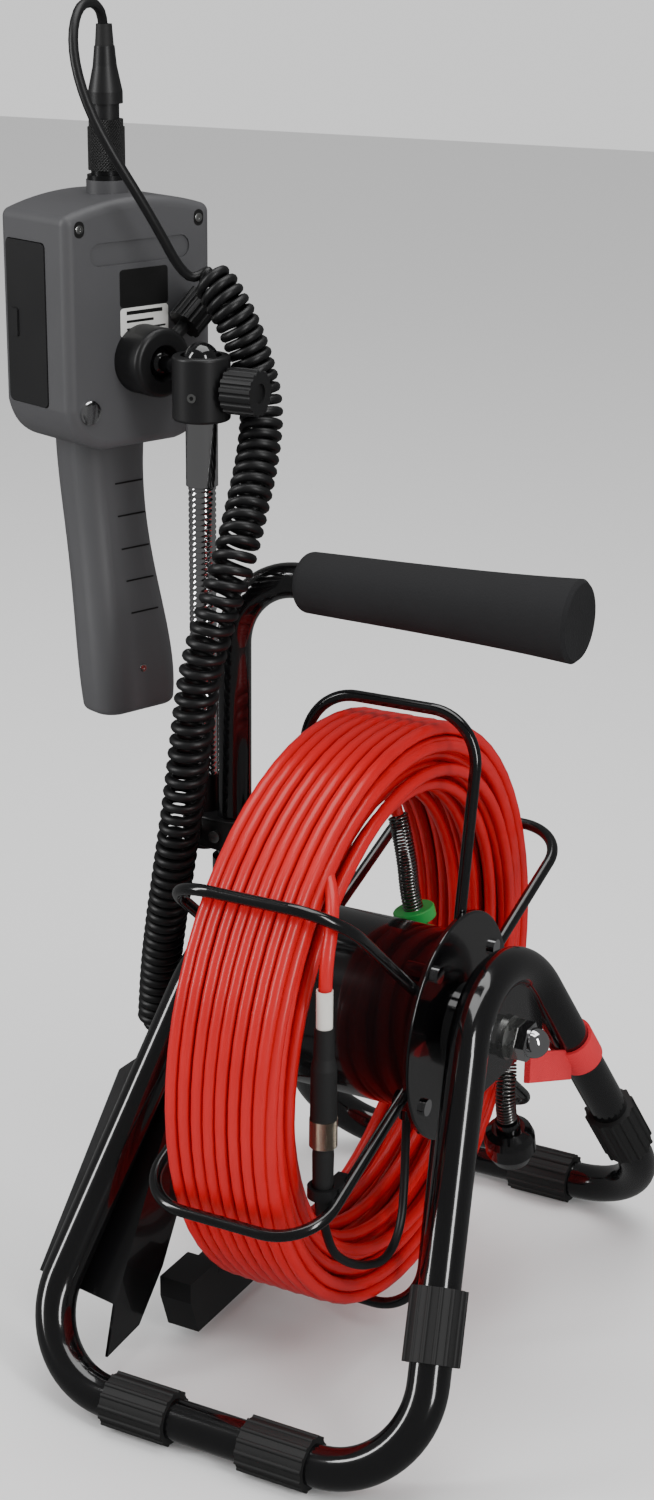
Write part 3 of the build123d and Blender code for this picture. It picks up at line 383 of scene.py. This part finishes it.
# Spring neck: close-wound stainless wire round the probe's line
SPRING_ROUTE = [(-14, 65, 275), (-8, 65, 253), (-5.5, 66, 225), (2, 69, 198), (20, 72, 176), (42, 69, 161),
                (58.5, 62, 149), (63.2, 53, 133), (63.6, 51, 120), (63.6, 55, 108)]
spring_line = line_of([at(*p) for p in SPRING_ROUTE])
spring_points = helix(spring_line, 0.0054, 0.0019, 10, lead_in=0.2)
spring_wire = spline("spring_wire", spring_points, 0.0008, around=1, smoothness=2)
spring_neck = new_object("spring_neck", bpy.data.meshes.new_from_object(spring_wire))
bpy.data.objects.remove(spring_wire)
paint(spring_neck, SPRING_STEEL)
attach(spring_neck, "reel")
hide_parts("probe_spring")
RING_HEIGHT = 0.217
under = next(i for i, point in enumerate(spring_line) if point.z < RING_HEIGHT)
RING_PROFILE = [(-3.5, 6.2), (-3.5, 11.4), (-2.8, 12.0), (2.8, 12.0), (3.5, 11.4), (3.5, 6.2)]
green_ring = lathe("neck_ring", RING_PROFILE, spring_line[under],
                   spring_line[under + 2] - spring_line[under - 2])
paint(green_ring, GREEN)
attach(green_ring, "reel")

# ---------------------------------------------------------------- curly lead
# Black lead from the handset's plug, over the clamp, down as a curly cord beside the post
# and up into the rotary coupling's gland.
LEAD_R = 0.0026
UPPER_ROUTE = [(-175.59, 29.4, 685.5), (-175.59, 28.9, 699.5), (-174, 21, 706), (-171.5, 9, 708.5),
               (-169.5, -4, 706), (-167, -14, 694), (-162, -19, 677), (-153, -21, 657), (-143, -17, 637),
               (-133.5, -8, 616), (-126.5, 2, 596), (-122, 11, 579), (-118, 19, 570), (-112, 25, 574)]
COIL_ROUTE = [(-112, 25, 574), (-99, 22, 562), (-88.5, 27, 537), (-80, 28, 508), (-75.5, 16, 484),
              (-72, -2, 460), (-69.5, -22, 433), (-76, -32, 403), (-85, -33, 370), (-90, -32.5, 335),
              (-96, -31, 299), (-104.5, -27, 261), (-115, -20, 221), (-126, -10, 180), (-131, -5, 145)]
LOWER_ROUTE = [(-131.5, -4, 128), (-124, -2, 111), (-110, 0, 107), (-100.5, 0.5, 121), (-102, 0, 137),
               (-102, 0.01, 152)]
coil_points = helix(line_of([at(*p) for p in COIL_ROUTE]), 0.0094, 0.0066, 14, snug=0.03)
lead_points = [at(*p) for p in UPPER_ROUTE[:-1]] + coil_points + [at(*p) for p in LOWER_ROUTE]
lead_curve = spline("lead_curve", lead_points, LEAD_R, around=3, smoothness=3)
curly_lead = new_object("curly_lead", bpy.data.meshes.new_from_object(lead_curve))
bpy.data.objects.remove(lead_curve)
curly_lead.data.shade_smooth()
paint(curly_lead, LEAD_JACKET)
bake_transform(curly_lead)
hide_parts("lead_upper", "lead_coil", "lead_tail")
line_of(lead_points, 3)

# ---------------------------------------------------------------- jumper lead
JUMPER_ROUTE = [(35, -17, 135), (35, -17.5, 118), (37, -22, 98), (40, -31, 76), (41.6, -50, 66),
                (41.6, -75, 74), (41.6, -101, 90), (41.6, -120, 108), (41.6, -127, 131)]
jumper = spline("jumper_lead_wire", [at(*p) for p in JUMPER_ROUTE], 0.0024, around=4, smoothness=8)
paint(jumper, LEAD_JACKET)
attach(jumper, "reel")
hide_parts("jumper_lead")

# ---------------------------------------------------------------- carried-over CAD pieces
for names, material in (
    (("stand_tube_right", "stand_tube_left", "axle_plates", "handle_tube", "post_socket"), LACQUER),
    (("wire_arms",), WIRE_COAT),
    (("side_tray",), SHEET_COAT),
    (("hub_drum", "reel_flanges"), HUB_COAT),
    (("rubber_feet", "leg_bumpers", "cable_boot", "lead_plug", "plug_relief"), RUBBER),
    (("foam_grip",), FOAM),
    (("axle", "axle_fasteners", "small_fasteners"), ZINC),
    (("cap_nut", "flange_screws", "arm_sleeve"), CHROME),
    (("rotary_coupling", "axle_spacers", "arm_bracket", "clamp_block", "clamp_knob", "disc_knob", "disc_mount",
      "battery_door", "rest_block", "cable_clips", "plug_body"), ABS_BLACK),
    (("rear_shell", "front_shell", "grip_cap"), ABS_GREY),
    (("cable_strap",), STRAP),
    (("axle_bushes",), BRONZE),
    (("label_sleeve",), SLEEVE),
    (("camera_head", "arm_stem", "ball_stud"), ABS_GLOSS),
    (("lens_window",), LENS),
    (("screen_glass",), SCREEN),
    (("power_button", "menu_button", "record_button"), BUTTON),
    (("electronics",), BOARD),
    (("battery_pack",), CELLS),
):
    for name in names:
        paint(name, material)

END_AT = at(41.6, -127, 0)
PLUG_AT = on_back(0, -28, 0)
KNURL_NICKEL = surface("knurled_nickel", "b7aa98", 0.22, metallic=1.0, depth=0.5,
                       pattern=knurl(1.5, 7.2, tuple(END_AT)))
KNURL_BLACK = surface("knurled_black_nylon", "191919", 0.4, depth=0.6, pattern=knurl(1.7, 9.9, tuple(PLUG_AT)))
paint("knurled_ring", KNURL_NICKEL)
paint("plug_nut", KNURL_BLACK)
paint("handset_socket", surface("black_anodised_collar", "202021", 0.3, metallic=0.6, drift=0.1))

# ---------------------------------------------------------------- flexible arm
# Interlocked chromed hose: rounded convolutions three millimetres apart.
ARM_AT = at(-102, 1.6, 0)
ARM_LOW, ARM_HIGH, RIB_PITCH = 304.0, 466.0, 3.0
ribs = []
rib_count = round((ARM_HIGH - ARM_LOW) / RIB_PITCH)
for rib in range(rib_count):
    for share, radius in ((0.0, 6.7), (0.18, 7.25), (0.45, 7.5), (0.75, 7.3), (0.93, 6.75)):
        ribs.append((ARM_LOW + (rib + share) * RIB_PITCH, radius))
ribs.append((ARM_HIGH, 6.7))
flexible_arm = lathe("flexible_arm_ribs", ribs, ARM_AT, (0, 0, 1), segments=40, smooth=50)
paint(flexible_arm, CHROME)
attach(flexible_arm, "stand")
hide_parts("flexible_arm")

# ---------------------------------------------------------------- handset details
def on_handset(obj, material):
    paint(obj, material)
    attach(obj, "handset")
    return obj


def skin(across, z, node="rear_shell"):
    """The place on the handset's back that far across and that high."""
    return nodes[node].ray_cast(on_back(across, 40, z), -BACK)[1]


UP = Vector((0, 0, 1))
LABEL_ACROSS = 2
on_handset(plate("label_top", rounded(32, 20, 2), on_back(LABEL_ACROSS, 0, 564), ACROSS, UP, 0.3, bevel=0.1),
           INK)
on_handset(plate("label_foot", rounded(32, 15.4, 2), on_back(LABEL_ACROSS, 0, 546), ACROSS, UP, 0.3, bevel=0.1),
           PAPER)
LABEL_BARS = ((0, 551, 24, 2.0), (-3, 546.5, 18, 1.4), (1, 542.5, 26, 1.0))
for number, (across, z, width, height) in enumerate(LABEL_BARS):
    bar = plate(f"label_bar_{number + 1}", rounded(width, height, 0.3), on_back(LABEL_ACROSS + across, 0.3, z),
                ACROSS, UP, 0.05, 0)
    on_handset(bar, INK)

# Five finger grooves on the back of the grip, drawn as thin strips of painted shade
for number, z in enumerate((454, 436, 418, 400.5, 383)):
    shade_strip = plate(f"grip_groove_shade_{number + 1}", rounded(19, 0.9, 0.4), skin(6, z) + BACK * 0.00005,
                   ACROSS, UP, 0.15, 0)
    on_handset(shade_strip, PAINTED_SHADE)

# Cross-head case screws in recesses at the head's corners; the recesses are drawn as patches of painted shade
for number, across in enumerate((-39.5, 39.5)):
    shade_patch = plate(f"screw_recess_shade_{number + 1}", rounded(6.4, 8.6, 3.1), skin(across, 597), ACROSS, UP, 0.1, 0)
    on_handset(shade_patch, PAINTED_SHADE)
for number, (across, z) in enumerate(((-39.5, 597), (39.5, 597), (0, 352))):
    screw = lathe(f"case_screw_{number + 1}",
                  [(0, 2.3), (0.3, 2.3), (0.5, 1.8), (0.5, 0.9), (0.2, 0.7), (0.2, 0.01)],
                  skin(across, z), BACK, segments=24)
    on_handset(screw, ZINC)

# Round chromed blanking plug low on the back
blank = lathe("blanking_plug", [(0, 6.6), (1.2, 6.6), (1.8, 6.0), (2.0, 4.0), (2.0, 0.01)],
              on_back(-35, 0, 501), BACK)
on_handset(blank, CHROME)

# ---------------------------------------------------------------- studio
floor_mesh = bpy.data.meshes.new("floor")
floor_mesh.from_pydata([(-6, -6, 0), (6, -6, 0), (6, 6, 0), (-6, 6, 0)], [], [(0, 1, 2, 3)])
floor = new_object("floor", floor_mesh)
paint(floor, surface("white_studio_floor", "f4f4f4", 0.7, drift=0.0))

floor.visible_glossy = False

# White to the eye, soft fill on the object, nearly dark in reflections so that black lacquer stays black
FILL, MIRRORED = 0.75, 0.12
world = bpy.data.worlds.new("studio")
world.use_nodes = True
tree = world.node_tree
seen = add(tree, "ShaderNodeLightPath")
fill = add(tree, "ShaderNodeMath", {0: seen.outputs["Is Glossy Ray"], 1: MIRRORED - FILL, 2: FILL},
           operation="MULTIPLY_ADD")
whole = add(tree, "ShaderNodeMath", {0: seen.outputs["Is Camera Ray"], 1: 1.0 - FILL, 2: fill.outputs[0]},
            operation="MULTIPLY_ADD")
tree.nodes["Background"].inputs["Color"].default_value = (1, 1, 1, 1)
tree.links.new(whole.outputs[0], tree.nodes["Background"].inputs["Strength"])
bpy.context.scene.world = world


def softbox(name, place, target, width, height, power):
    """A rectangular light that faces a point."""
    data = bpy.data.lights.new(name, "AREA")
    data.shape = "RECTANGLE"
    data.size = width
    data.size_y = height
    data.energy = power
    lamp = new_object(name, data)
    lamp.location = place
    lamp.rotation_euler = (Vector(target) - Vector(place)).to_track_quat("-Z", "Y").to_euler()


MIDDLE = at(0, 0, 320)
softbox("left_box", (-1.6, -1.3, 1.3), MIDDLE, 0.4, 1.8, 26)
softbox("right_box", (1.7, -0.9, 1.2), MIDDLE, 0.35, 1.6, 20)
softbox("top_box", (0.1, 0.2, 2.2), MIDDLE, 1.6, 1.6, 24)
